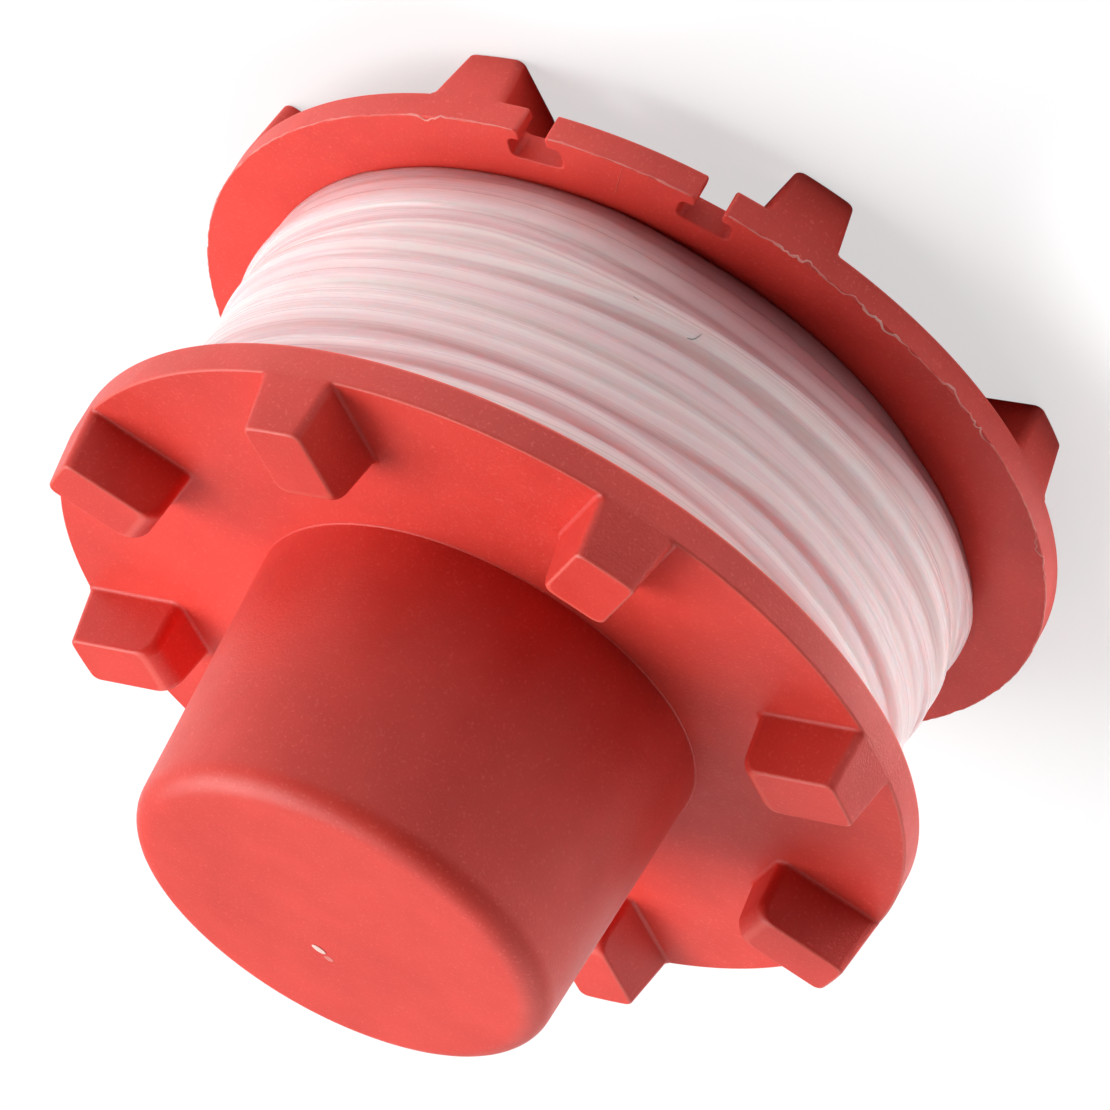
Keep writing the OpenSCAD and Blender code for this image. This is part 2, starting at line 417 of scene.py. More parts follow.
def line_surface(tree, place):
    """Milky line, streaked along its turns. The map "turns" holds scratches (u) and counts strands (v)."""
    x, y, z = parts_of(tree, place)
    scratched, strand = uv_map(tree, "turns")
    along = vector_of(tree, X=x, Y=y, Z=strand)
    streaks = noise(tree, stretched(tree, along, (7.0, 7.0, 6.5)), scale=1.0, detail=4.0, roughness=0.6)
    colour = ramp(tree, streaks, (0.30, LINE_ROSE), (0.66, LINE_MILK))
    # Broad bands, a strand or two wide
    bands = noise(tree, stretched(tree, along, (6.0, 6.0, 1.1)), scale=1.0, detail=1.0)
    bands = ranged(tree, bands, 0.40, 0.62, 0.0, 0.55)
    # Thin dark lines laid by noise along the turns: painted shade of the creases where one turn lies against
    # the next
    crease_shade = stretched(tree, along, (5.0, 5.0, 8.0), location=(3.0, 1.0, 0.0))
    crease_shade = noise(tree, crease_shade, scale=1.0, detail=0.0)
    crease_shade = ranged(tree, crease_shade, 0.33, 0.26, 0.0, 0.34)
    # Where fewer turns lie over the drum its red shows through the line, partly as painted shade of the sunk
    # turns; beside the rear flange lies a painted red bounce light
    radius = node(tree, "ShaderNodeVectorMath", operation="LENGTH")
    tree.links.new(vector_of(tree, X=x, Y=y), radius.inputs[0])
    thin = ranged(tree, radius.outputs["Value"], THIN_FROM_R * MM, THIN_TO_R * MM, 0.0, 0.75)
    # A painted red bounce light from the rear flange on the turns beside it
    rear = ranged(tree, z, REAR_BOUNCE_FROM_Z * MM, REAR_BOUNCE_TO_Z * MM, 0.0, 0.12)
    red_shade_and_bounce = summed(tree, thin, rear)
    for share, over in ((bands, LINE_MAUVE), (crease_shade, LINE_CREASE_SHADE), (red_shade_and_bounce, LINE_RED_SHADE_AND_BOUNCE),
                        (scratched, LINE_SCRATCH)):
        colour = mixed(tree, share, colour, over)
    matt = ranged(tree, streaks, 0.3, 0.7, 0.24, 0.36)
    return colour, matt, bumped(tree, streaks, strength=0.2, distance=0.04 * MM)


def red_plastic():
    return plastic("red_plastic", red_surface, weight=0.06, radius=(1.0, 0.25, 0.2), scale=1.2 * MM)


def line_nylon():
    return plastic("line_nylon", line_surface, weight=1.0, radius=(1.0, 0.66, 0.62), scale=3.0 * MM)


# The moulding

# The rims' rounded corners (r, z, fillet), which carry a painted highlight, and how strong it is
FRONT_RIM_TOP = (FLANGE_R, FRONT_OUTER_Z, 0.22)
FRONT_RIM_FOOT = (FLANGE_R, FRONT_INNER_Z, 0.3)
REAR_RIM_FOOT = (REAR_FLANGE_R, REAR_OUTER_Z, 0.25)
EDGE_HIGHLIGHT_SHARE = 0.4
# The witness line at the button's foot
WITNESS_H = 0.06
WITNESS_TOP_W = 0.08
WITNESS_FOOT_W = 0.14
# Places on the flanges' flat faces, from the axis and from the drum
FACE_R = 24.0
FACE_STEP = 6.0
MOUTH_FLARE = 0.6
LATHE_SEGMENTS = 384
LUG_TOP_R = 0.22
LUG_FOOT_R = 0.28
LUG_NOSE_R = 1.35
LUG_RIM_CORNER_R = 0.65
LUG_INNER_CORNER_R = 0.75
LUG_SIDE_SLOPE = math.tan(math.radians(8.3))
LUG_RIM_SLOPE = math.tan(math.radians(7.2))
LUG_INNER_SLOPE = math.tan(math.radians(4))
# How far the lugs stand back from the rim, and how deep their feet sink into the flange
LUG_INSET = 0.01
LUG_SINK = 0.35
NOTCH_CORNER_R = 0.5
NOTCH_THROAT_R = 0.18
NOTCH_LEAST_R = 0.02
NOTCH_FLARE_R = 0.35
NOTCH_EDGE_R = 0.16
NOTCH_OVERRUN = 1.0
NOTCH_OVERRUN_Z = 0.6
# The flash along the rear parting: its radius, how far it slips off the corner, and how pale it is
FLASH_R = 0.055
FLASH_R_LIMITS = (0.035, 0.12)
FLASH_SLIP_LIMIT = 0.4
FLASH_PALE_LIMITS = (0.1, 0.65)
# Where it has torn: angle, width (degrees) and gain, beside a least share all round
TORN_LEAST_SHARE = 0.12
TORN = [(-112.5, 3.2, 1.0), (-126.0, 4.2, 1.1), (-138.0, 1.5, 0.7), (-145.0, 2.0, 1.0), (-64.0, 2.0, 0.6),
        (-168.0, 3.0, 0.6)]
FLASH_SEED = 7
FLASH_POINTS_A_DEGREE = 2.4
# The parting line between the notches: its inner end and its run to the rim (x, y)
PARTING_R = 0.035
PARTING_X, PARTING_Y = (0.30, -28.9)
PARTING_RUN_X, PARTING_RUN_Y = (-0.5, -3.2)
# The gate's scar and its smear: centre and end of the long axis (x, y), half width, height and paleness
GATE_SCARS = [
    ((1.18, 3.96), (1.72, 3.70), 0.34, 0.07, 0.85),
    ((0.48, 4.76), (0.84, 4.68), 0.3, 0.02, 0.25),
]


def lug_outline(h, height, rim_r):
    """Outline of a lug on +X at height h over its foot, from the inner end's -Y corner to its +Y one."""
    edge = fallen(LUG_TOP_R, h - (height - LUG_TOP_R))
    flare = fallen(LUG_FOOT_R, LUG_FOOT_R - h)
    half_w = LUG_W / 2 - h * LUG_SIDE_SLOPE + flare - edge
    rim = rim_r - LUG_INSET - h * LUG_RIM_SLOPE - edge
    inner = rim_r - LUG_LEN + h * LUG_INNER_SLOPE - flare + fallen(LUG_NOSE_R, h - (height - LUG_NOSE_R))
    rim_c = LUG_RIM_CORNER_R - edge * 0.6
    inner_c = LUG_INNER_CORNER_R
    # The rim's corners follow the rim's circle
    rim_x = rim - fallen(rim, half_w - rim_c) - rim_c
    points = arc(inner + inner_c, inner_c - half_w, inner_c, 180, 270, 7)
    points += arc(rim_x, rim_c - half_w, rim_c, 270, 355, 7)
    for k in range(1, 8):
        y = (half_w - rim_c) * (k / 4 - 1)
        points.append((math.sqrt(rim**2 - y * y), y))
    points += arc(rim_x, half_w - rim_c, rim_c, 5, 90, 7)
    points += arc(inner + inner_c, half_w - inner_c, inner_c, 90, 180, 7)
    return points


def lug(height, rim_r, foot_z, up=1):
    """A lug on +X whose foot is at foot_z, and that points up or down (-1), with its marks."""
    nose = height - LUG_NOSE_R
    levels = [-LUG_SINK, -0.012, 0.03, 0.08, 0.16, LUG_FOOT_R, 0.9, 1.7, nose]
    levels += [nose + LUG_NOSE_R * math.sin(math.radians(a)) for a in (12, 24, 36, 46, 51)]
    levels += [height - LUG_TOP_R * (1 - math.sin(math.radians(a))) for a in (0, 20, 42, 64, 90)]
    outlines, marks = [], []
    for h in sorted(set(round(v, 4) for v in levels)):
        flat = lug_outline(max(h, 0.0), height, rim_r)
        outlines.append([(x, y, foot_z + up * h) for x, y in flat])
        # The marks are a painted highlight along the middle of the lug's rounded top edge
        round_edge = math.asin(min(max((h - height + LUG_TOP_R) / LUG_TOP_R, 0), 1))
        marks += [(EDGE_HIGHLIGHT_SHARE * math.sin(2 * round_edge), 0.0)] * len(flat)
    verts, faces = stacked(outlines)
    if up < 0:
        faces = [f[::-1] for f in faces]
    return verts, faces, marks


def moulding_profile():
    """The moulding's half section (r, z), from the button's end over the outside to its inside."""
    corners = [
        (0.0, BUTTON_END_Z, 0),
        (BUTTON_END_R, BUTTON_END_Z, BUTTON_EDGE_R),
        (BUTTON_BASE_R, FRONT_OUTER_Z + WITNESS_H, 0),
        (BUTTON_BASE_R + WITNESS_TOP_W, FRONT_OUTER_Z + WITNESS_H, 0),
        (BUTTON_BASE_R + WITNESS_FOOT_W, FRONT_OUTER_Z, 0),
        (FACE_R, FRONT_OUTER_Z, 0),
        FRONT_RIM_TOP,
        FRONT_RIM_FOOT,
        (DRUM_R + FACE_STEP, FRONT_INNER_Z, 0),
        (DRUM_R, FRONT_INNER_Z, 0.3),
        (DRUM_R, REAR_INNER_Z, 0.3),
        (DRUM_R + FACE_STEP, REAR_INNER_Z, 0),
        (REAR_FLANGE_R, REAR_INNER_Z, 0.12),
        REAR_RIM_FOOT,
        (FACE_R, REAR_OUTER_Z, 0),
        (BORE_R + MOUTH_FLARE, REAR_OUTER_Z, 0.15),
        (BORE_R, REAR_OUTER_Z + MOUTH_FLARE, 0.3),
        (BORE_R, FRONT_INNER_Z, 0.15),
        (CAVITY_BASE_R, FRONT_INNER_Z, 0.2),
        (CAVITY_END_R, CAVITY_END_Z, 0.6),
        (SEAT_OUTER_R, CAVITY_END_Z, 0.2),
        (SEAT_OUTER_R, CAVITY_END_Z - SEAT_H, 0.25),
        (SEAT_INNER_R, CAVITY_END_Z - SEAT_H, 0.25),
        (SEAT_INNER_R, CAVITY_END_Z, 0.2),
        (0.0, CAVITY_END_Z, 0),
    ]
    points = [corners[0][:2]]
    for before, corner, after in zip(corners, corners[1:], corners[2:]):
        steps = 12 if corner[2] == BUTTON_EDGE_R else 4
        points.extend(filleted(before, corner, after, steps))
    points.append(corners[-1][:2])
    return points


def notch_outline(grow):
    """Outline of a line notch that points along +X, grown by an offset. It runs from the neck's +Y side."""
    neck_y = NOTCH_NECK_W / 2
    corner_y = NOTCH_EYE_W / 2 - NOTCH_CORNER_R
    inner_x = REAR_FLANGE_R - NOTCH_DEPTH
    outer_x = inner_x + NOTCH_EYE_LEN
    mouth_x = math.sqrt(REAR_FLANGE_R**2 - neck_y**2) - NOTCH_FLARE_R
    mouth_y = neck_y + NOTCH_FLARE_R
    throat_x = outer_x + NOTCH_THROAT_R
    throat_y = neck_y + NOTCH_THROAT_R
    corner_r = NOTCH_CORNER_R + grow
    throat_r = max(NOTCH_THROAT_R - grow, NOTCH_LEAST_R)
    flare_r = NOTCH_FLARE_R - grow
    points = arc(mouth_x, mouth_y, flare_r, 0, -90, 5)
    points += arc(throat_x, throat_y, throat_r, -90, -180, 4)
    points += arc(outer_x - NOTCH_CORNER_R, corner_y, corner_r, 0, 90, 5)
    points += arc(inner_x + NOTCH_CORNER_R, corner_y, corner_r, 90, 180, 5)
    points += arc(inner_x + NOTCH_CORNER_R, -corner_y, corner_r, 180, 270, 5)
    points += arc(outer_x - NOTCH_CORNER_R, -corner_y, corner_r, 270, 360, 5)
    points += arc(throat_x, -throat_y, throat_r, 180, 90, 4)
    points += arc(mouth_x, -mouth_y, flare_r, 90, 0, 5)
    end_x = REAR_FLANGE_R + NOTCH_OVERRUN
    return points + [(end_x, -mouth_y), (end_x, mouth_y)]


def notch_cutter():
    """The notch's tool: it widens a little at both faces, which rounds their edges."""
    edge = NOTCH_EDGE_R
    levels = [(-NOTCH_OVERRUN_Z, edge), (-0.001, edge)]
    for degrees in (22.5, 45, 67.5, 90):
        a = math.radians(degrees)
        levels.append((edge * (1 - math.cos(a)), edge * (1 - math.sin(a))))
    thick = REAR_INNER_Z - REAR_OUTER_Z
    levels += [(thick - h, grow) for h, grow in reversed(levels)]
    outlines = [[(x, y, REAR_OUTER_Z + h) for x, y in notch_outline(grow)] for h, grow in levels]
    return stacked(outlines, close_first=True)


def cut(obj, tool):
    """Takes the tool's form out of obj."""
    mod = obj.modifiers.new("cut", "BOOLEAN")
    mod.operation = "DIFFERENCE"
    mod.solver = "EXACT"
    mod.object = tool
    graph = bpy.context.evaluated_depsgraph_get()
    new = bpy.data.meshes.new_from_object(obj.evaluated_get(graph))
    old = obj.data
    obj.modifiers.remove(mod)
    obj.data = new
    bpy.data.meshes.remove(old)


def wobble(rng, count, width):
    """A random wave of count values, evened out over a width."""
    raw = rng.normal(size=count + 2 * width)
    kernel = np.hanning(width + 2)[1:-1]
    return np.convolve(raw, kernel / np.sqrt((kernel**2).sum()), "same")[width:width + count]


def flash():
    """The thin ragged line that the parting leaves along the rear flange's inner rim, with its marks."""
    rng = np.random.default_rng(FLASH_SEED)
    half_gap = math.degrees((NOTCH_NECK_W / 2 + NOTCH_FLARE_R) / REAR_FLANGE_R)
    spans = [(NOTCH_ANGLES[1] + half_gap, NOTCH_ANGLES[0] - half_gap),
             (NOTCH_ANGLES[0] + half_gap, NOTCH_ANGLES[1] + 360 - half_gap)]
    parts, marks = [], []
    for first, last in spans:
        n = int((last - first) * FLASH_POINTS_A_DEGREE)
        angle = np.linspace(first, last, n)
        torn = np.full(n, TORN_LEAST_SHARE)
        for centre, width, gain in TORN:
            for shift in (0, 360):
                torn += gain * np.exp(-((angle - centre - shift) / width) ** 2)
        # Along the rim's surface: in over the face or down the side
        slip = torn * (0.16 * wobble(rng, n, 7) + 0.13 * wobble(rng, n, 2)) + 0.02 * wobble(rng, n, 21)
        radius = np.clip(FLASH_R + 0.035 * torn + 0.014 * wobble(rng, n, 3), *FLASH_R_LIMITS)
        r = REAR_FLANGE_R - 0.03 - np.clip(slip, 0, FLASH_SLIP_LIMIT)
        z = REAR_INNER_Z - 0.02 + np.clip(slip, -FLASH_SLIP_LIMIT, 0)
        rad = np.radians(angle)
        parts.append(tube(np.stack([r * np.cos(rad), r * np.sin(rad), z], 1), radius))
        pale = np.clip(0.18 + 0.34 * torn + 0.06 * wobble(rng, n, 9), *FLASH_PALE_LIMITS)
        marks += [(0.0, share) for share in np.repeat(pale, TUBE_SIDES)]
    verts, faces = merged(parts)
    return verts, faces, marks


def scar(centre, end, width, height, pale):
    """A low oval left by the gate on the button's end, with its marks. Centre to end is its half length."""
    c = np.array(centre)
    long = np.array(end) - c
    short = np.array([-long[1], long[0]]) / np.linalg.norm(long) * width
    count = 28
    outlines, marks = [], []
    for share, rise, paled in ((1.0, -0.02, 0.0), (0.98, 0.4 * height, 0.0), (0.88, 0.85 * height, pale),
                               (0.7, height, pale)):
        turns = [2 * math.pi * k / count for k in range(count)]
        flat = [c + share * (math.cos(t) * long + math.sin(t) * short) for t in turns]
        outlines.append([(p[0], p[1], BUTTON_END_Z + rise) for p in flat])
        marks += [(0.0, paled)] * count
    verts, faces = stacked(outlines)
    return verts, faces, marks


def parting():
    """The faint line that the mould leaves on the rear flange between the notches, with its marks."""
    shares = np.linspace(1, 0, 12)
    path = [(PARTING_X + PARTING_RUN_X * s, PARTING_Y + PARTING_RUN_Y * s, REAR_INNER_Z) for s in shares]
    verts, faces = tube(path, PARTING_R)
    return verts, faces, [(0.0, 0.1)] * len(verts)


def rim_marks(points):
    """The marks of points (mm): a painted highlight along the middle of the rims' rounded corners."""
    radius = np.hypot(points[:, 0], points[:, 1])
    edge_highlight = np.zeros(len(points))
    for r, z, fillet in (FRONT_RIM_TOP, FRONT_RIM_FOOT, REAR_RIM_FOOT):
        away = np.hypot(radius - r, points[:, 2] - z)
        edge_highlight = np.maximum(edge_highlight, EDGE_HIGHLIGHT_SHARE * np.clip((fillet * 0.98 - away) / (fillet * 0.56), 0, 1))
    return [(share, 0.0) for share in edge_highlight]


def moulding(material):
    """The spool's moulding: body, lugs, flash and scars in one piece."""
    verts, faces = lathe(moulding_profile(), LATHE_SEGMENTS)
    body = make_object("spool_moulding", verts, faces, material)
    for angle in NOTCH_ANGLES:
        verts, faces = notch_cutter()
        tool = make_object("notch_tool", turned(verts, angle), faces, material)
        cut(body, tool)
        bpy.data.objects.remove(tool)
    marks = rim_marks(points_of(body.data) / MM)
    parts = []
    for i in range(LUG_COUNT):
        angle = LUG_ANGLE + 360 / LUG_COUNT * i
        front = lug(LUG_H, FLANGE_R, FRONT_OUTER_Z)
        rear = lug(REAR_LUG_H, REAR_FLANGE_R, REAR_OUTER_Z, up=-1)
        for v, f, m in (front, rear):
            parts.append((turned(v, angle), f))
            marks += m
    for v, f, m in [flash(), parting()] + [scar(*values) for values in GATE_SCARS]:
        parts.append((v, f))
        marks += m
    verts, faces = merged(parts)
    joined(body, make_object("spool_lugs", verts, faces, material))
    set_uv(body.data, "marks", marks)
    smoothed(body.data, 38)
    mod = body.modifiers.new("weighted", "WEIGHTED_NORMAL")
    mod.keep_sharp = True
    mod.weight = 60
    return body


# The wound line

# Each strand of the outer layer: how high it lies at angles round the spool (degrees, mm).
# They are laid in this order, and each rests on those laid before it.
STRANDS = {
    "j": [(-200, 10.2), (-170, 10.8), (-150, 11.1), (-130, 11.0), (-110, 10.8), (-95, 10.5), (-85, 10.2),
          (-75, 10.0), (-60, 10.3), (-45, 10.9), (-20, 11.2)],
    "m": [(-200, 7.1), (-150, 7.05), (-100, 7.05), (-60, 7.05), (-20, 7.1)],
    "c": [(-200, 21.6), (-160, 21.3), (-145, 20.95), (-130, 20.8), (-110, 20.6), (-90, 20.7), (-60, 20.8),
          (-20, 20.9)],
    "e2": [(-200, 17.3), (-150, 17.5), (-120, 17.35), (-100, 17.5), (-80, 17.6), (-50, 17.5), (-20, 17.3)],
    "i": [(-200, 12.2), (-160, 11.95), (-130, 11.9), (-110, 11.95), (-100, 12.0), (-90, 11.7), (-80, 11.35),
          (-72, 11.2), (-60, 11.5), (-48, 12.1), (-20, 12.6)],
    "l": [(-200, 8.5), (-150, 8.5), (-130, 8.7), (-110, 8.45), (-90, 8.1), (-75, 7.95), (-55, 8.3),
          (-20, 8.7)],
    "k": [(-200, 9.6), (-170, 9.4), (-150, 9.5), (-130, 9.85), (-110, 9.7), (-100, 9.55), (-90, 9.3),
          (-75, 9.05), (-60, 9.25), (-40, 9.8), (-20, 9.9)],
    "g": [(-200, 14.6), (-150, 15.2), (-130, 15.1), (-120, 14.85), (-110, 14.65), (-100, 14.8),
          (-85, 14.95), (-60, 14.9), (-20, 14.6)],
    "e": [(-200, 18.6), (-160, 18.6), (-145, 18.3), (-130, 18.1), (-118, 17.95), (-105, 18.2), (-90, 18.35),
          (-60, 18.3), (-20, 18.1)],
    "f": [(-200, 16.4), (-160, 16.4), (-140, 16.35), (-110, 16.3), (-80, 16.35), (-60, 16.2), (-20, 16.1)],
    "s1": [(-200, 25.1), (-100, 25.1), (-20, 25.1)],
    "s2": [(-200, 23.6), (-150, 23.5), (-110, 23.3), (-80, 23.45), (-20, 23.6)],
    "b": [(-200, 22.9), (-160, 22.8), (-140, 22.6), (-120, 22.05), (-110, 21.75), (-97, 21.5), (-85, 21.65),
          (-70, 22.05), (-50, 22.3), (-20, 22.3)],
    "d": [(-200, 19.9), (-160, 19.6), (-145, 19.3), (-130, 19.0), (-120, 19.3), (-110, 19.65), (-95, 19.75),
          (-70, 19.8), (-20, 19.7)],
    "h": [(-200, 12.9), (-160, 12.8), (-130, 12.7), (-112, 12.6), (-100, 12.9), (-88, 13.25), (-70, 13.3),
          (-50, 13.3), (-20, 13.4)],
}
# The order of the strands from the front flange to the rear one, which joins the end of each turn to the next
SEQUENCE = ["s1", "s2", "b", "c", "d", "e", "e2", "f", "g", "h", "i", "j", "k", "l", "m"]
# The tables start at this angle. Past their ends the strands cross to their neighbours' places.
START_ANGLE = -200
CROSSING_SHARES = ((20, 0.12), (60, 0.38), (100, 0.66), (130, 0.87))
CROSSING_END = 160
CROSSING_WANDER = 0.18
STRAND_SEED = 11
STEPS = 240
# How near the flanges a strand comes
FLANGE_GAP = 0.02
# The turns of the layer beneath, and how far under the outer layer they lie
LAID_TURNS = 12
LAYER_DROP = 1.3
# Where the line's middle lies if neither sunk nor humped, and how much of its steps the stiff line keeps
OUTER_LAYER_R = 27.28
STEP_SHARE = 0.16
STEP_LIMITS = (-0.5, 0.35)
# How far strands press into each other, how fast a raised strand falls off (mm at a step, squared), and
# over how many steps its stiffness and its join to the next turn even it out
PRESS_SHARE = 0.97
FALL = 0.012
STIFF_STEPS = 17
JOIN_STEPS = 20
# How far a strand sinks under the outer layer, or stands over it where negative (degrees, mm)
SINKS = {
    "m": [(-200, 0.5), (-185, 0.4), (-170, 1.2), (-150, 1.9), (-130, 1.5), (-104, 1.0), (-90, 0.3),
          (-60, 0.0), (-20, -0.1)],
    "l": [(-200, -0.2), (-185, -0.35), (-168, 0.4), (-150, 0.9), (-125, 0.9), (-104, 0.8), (-88, 0.1),
          (-60, -0.15), (-20, -0.2)],
    "k": [(-200, 0.0), (-150, 0.3), (-135, 0.7), (-118, 0.85), (-104, 0.7), (-88, 0.1), (-60, -0.15),
          (-20, -0.2)],
    "j": [(-200, 0.0), (-148, 0.1), (-135, 0.6), (-118, 0.8), (-104, 0.65), (-90, 0.2), (-78, 0.0),
          (-50, -0.1), (-20, -0.1)],
    "g": [(-200, -0.6), (-188, -0.6), (-172, -0.1), (-150, 0.0), (-20, 0.0)],
    "h": [(-200, -0.5), (-188, -0.5), (-172, -0.1), (-150, 0.0), (-20, 0.0)],
}
# How far the translucent strands are flattened, and how much of the relief between them shows
FLATTEN = 0.42
RELIEF = 0.85
# Rows across the roll, its gap to the flanges, and the widths over which its form and relief are evened out
ROWS = 208
SKIN_GAP = 0.04
BROAD_WIDTH = 0.8
FINE_WIDTH = 0.06
# Marks on the strands (degrees, mm): a short curved scratch and a nick
SCRATCHES = [
    [(-107.2, 13.05), (-107.7, 13.0), (-108.1, 12.84), (-108.4, 12.55), (-108.6, 12.24)],
    [(-98.1, 12.14), (-99.0, 12.24)],
]
SCRATCH_R = 0.03
SCRATCH_SHARE = 0.5


def bell(width):
    """Weights for a running mean."""
    kernel = np.hanning(width + 2)[1:-1]
    return kernel / kernel.sum()


def evened_ring(values, width):
    """Values round the spool, evened out over a width."""
    padded = np.concatenate([values[-width:], values, values[:width]])
    return np.convolve(padded, bell(width), "same")[width:-width]


def strand_heights():
    """z of each strand at each step round the spool, from START_ANGLE to CROSSING_END."""
    rng = np.random.default_rng(STRAND_SEED)
    angle = START_ANGLE + 360 * np.arange(STEPS + 1) / STEPS
    lowest = REAR_INNER_Z + LINE_D / 2 + FLANGE_GAP
    highest = FRONT_INNER_Z - LINE_D / 2 - FLANGE_GAP
    width = 13
    ends = width + 1
    heights = {}
    for name, following in zip(SEQUENCE, SEQUENCE[1:] + [None]):
        a, z = [list(column) for column in zip(*STRANDS[name])]
        start = z[0]
        here = z[-1]
        there = STRANDS[following][0][1] if following else start
        for degrees, share in CROSSING_SHARES:
            a.append(degrees)
            z.append(here + (there - here) * share + CROSSING_WANDER * rng.normal())
        a.append(CROSSING_END)
        z.append(there)
        wave = np.interp(angle, a, z)
        padded = np.concatenate([np.full(ends, wave[0]), wave, np.full(ends, wave[-1])])
        wave = np.convolve(padded, bell(width), "same")[ends:-ends]
        wave[0] = start
        wave[-1] = there
        heights[name] = np.clip(wave, lowest, highest)
    return angle, heights


def resting(z, laid, count):
    """The least radius at which a strand at heights z clears those laid before it."""
    r = np.zeros(count)
    for laid_z, laid_r in laid:
        dz = np.abs(z - laid_z)
        lift = np.sqrt(np.clip(LINE_D**2 - dz**2, 0, None))
        r = np.maximum(r, np.where(dz < LINE_D, laid_r + lift * PRESS_SHARE, 0))
    return r


def strand_radii(angle, heights):
    """Radius of each strand's middle at each step. It rests on those laid before it, evened by stiffness."""
    count = len(angle)
    laid, radii = [], {}
    for i in range(LAID_TURNS):
        turn_z = REAR_INNER_Z + LINE_D * (i + 0.5)
        laid.append((np.full(count, turn_z), np.full(count, OUTER_LAYER_R - LAYER_DROP)))
    for name in STRANDS:
        z = heights[name]
        r = resting(z, laid, count)
        bridged = r.copy()
        for s in range(-6, 7):
            bridged = np.maximum(bridged, np.roll(r, s) - FALL * s * s)
        r = evened_ring(bridged[:-1], STIFF_STEPS)
        r = np.append(r, r[0])
        laid.append((z, r))
        radii[name] = r
    level = np.mean([r.mean() for r in radii.values()])
    for name, r in radii.items():
        sunk = np.interp(angle, *zip(*SINKS[name])) if name in SINKS else 0.0
        radii[name] = OUTER_LAYER_R + np.clip((r - level) * STEP_SHARE, *STEP_LIMITS) - sunk
    # Each turn's end meets the next one's start
    ease = np.clip(1 - np.arange(count) / JOIN_STEPS, 0, 1)
    ease = ease * ease * (3 - 2 * ease)
    for name, following in zip(SEQUENCE[:-1], SEQUENCE[1:]):
        r = radii[name]
        r2 = radii[following]
        mean = (r[-1] + r2[0]) / 2
        r += (mean - r[-1]) * ease[::-1]
        r2 += (mean - r2[0]) * ease
    return radii


def envelope(heights, radii, z):
    """Radius of the strands' outer surface at heights z, a row for each step round the spool, 0 in a gap."""
    half = LINE_D / 2
    skin = np.zeros((STEPS, len(z)))
    for name in SEQUENCE:
        dz = np.abs(z[None, :] - heights[name][:STEPS, None])
        top = radii[name][:STEPS, None] + FLATTEN * np.sqrt(np.clip(half**2 - dz**2, 0, None))
        skin = np.maximum(skin, np.where(dz < half, top, 0))
    return skin


def blurred(skin, step, width):
    """The skin evened out across the strands, by a bell curve of a width in mm."""
    reach = int(3 * width / step) + 1
    kernel = np.exp(-((np.arange(-reach, reach + 1) * step / width) ** 2) / 2)
    kernel /= kernel.sum()
    padded = np.pad(skin, ((0, 0), (reach, reach)), "edge")
    return np.stack([np.convolve(row, kernel, "valid") for row in padded])


def roll_radii(heights, radii, z):
    """The roll's radius at heights z, a row for each step round the spool."""
    skin = envelope(heights, radii, z)
    # Gaps between strands are bridged
    for row in skin:
        row[:] = np.interp(z, z[row > 0], row[row > 0])
    step = z[1] - z[0]
    broad = blurred(skin, step, BROAD_WIDTH)
    skin = broad + RELIEF * (blurred(skin, step, FINE_WIDTH) - broad)
    return np.stack([evened_ring(column, 3) for column in skin.T], 1)


def strand_count(heights, z):
    """How many strands lie before heights z, a row for each. It runs on from turn to turn."""
    counts = np.empty((len(z), STEPS))
    numbers = np.concatenate([[-2], np.arange(len(SEQUENCE)), [len(SEQUENCE) + 1]])
    for i in range(STEPS):
        place = np.array([heights[name][i] for name in SEQUENCE])
        place = np.concatenate([[place[0] + 2 * LINE_D], place, [place[-1] - 2 * LINE_D]])
        counts[:, i] = np.interp(z, place[::-1], (numbers + i / STEPS)[::-1])
    return counts


def roll(angle, heights, z, skin):
    """The roll's closed skin, with its map."""
    rad = np.radians(angle[:STEPS])
    rings = list(zip(skin.T, z)) + [([DRUM_R + LINE_GAP] * STEPS, edge) for edge in (z[-1], z[0])]
    verts = [(r * math.cos(t), r * math.sin(t), h) for ring, h in rings for r, t in zip(ring, rad)]
    faces = []
    for k in range(len(rings)):
        m = (k + 1) % len(rings)
        for i in range(STEPS):
            j = (i + 1) % STEPS
            faces.append((k * STEPS + i, k * STEPS + j, m * STEPS + j, m * STEPS + i))
    counted = np.zeros((len(rings), STEPS, 2))
    counted[:len(z), :, 1] = strand_count(heights, z)
    return verts, faces, list(counted.reshape(-1, 2))


def scratch(points, z, skin):
    """A dark mark on the roll's skin along points (degrees, mm)."""
    path = []
    for degrees, height in points:
        step = int(round((degrees - START_ANGLE) * STEPS / 360))
        r = np.interp(height, z, skin[step]) - 0.01
        a = math.radians(degrees)
        path.append((r * math.cos(a), r * math.sin(a), height))
    return tube(path, SCRATCH_R)


def wound_line(material):
    """The line on the drum, as one roll."""
    angle, heights = strand_heights()
    radii = strand_radii(angle, heights)
    z = np.linspace(REAR_INNER_Z + SKIN_GAP, FRONT_INNER_Z - SKIN_GAP, ROWS)
    skin = roll_radii(heights, radii, z)
    verts, faces, counted = roll(angle, heights, z, skin)
    parts = [(verts, faces)]
    for points in SCRATCHES:
        v, f = scratch(points, z, skin)
        parts.append((v, f))
        counted += [(SCRATCH_SHARE, 0.0)] * len(v)
    verts, faces = merged(parts)
    obj = make_object("line_turns", verts, faces, material, sharp_deg=60)
    set_uv(obj.data, "turns", counted)
    return obj


# Stage, lamps and camera, in metres

FLOOR_HALF = 3.0
FLOOR_GREY = 0.94
# How much of the floor's own white the camera sees. The rest shows the light and shadow on it.
FLOOR_WHITE_SHARE = 0.62
WHITE = (1, 1, 1, 1)
WORLD_LIGHT = 0.01
# The lamps aim at this height, from this distance
AIM_Z = 0.022
LAMP_DISTANCE = 1.0
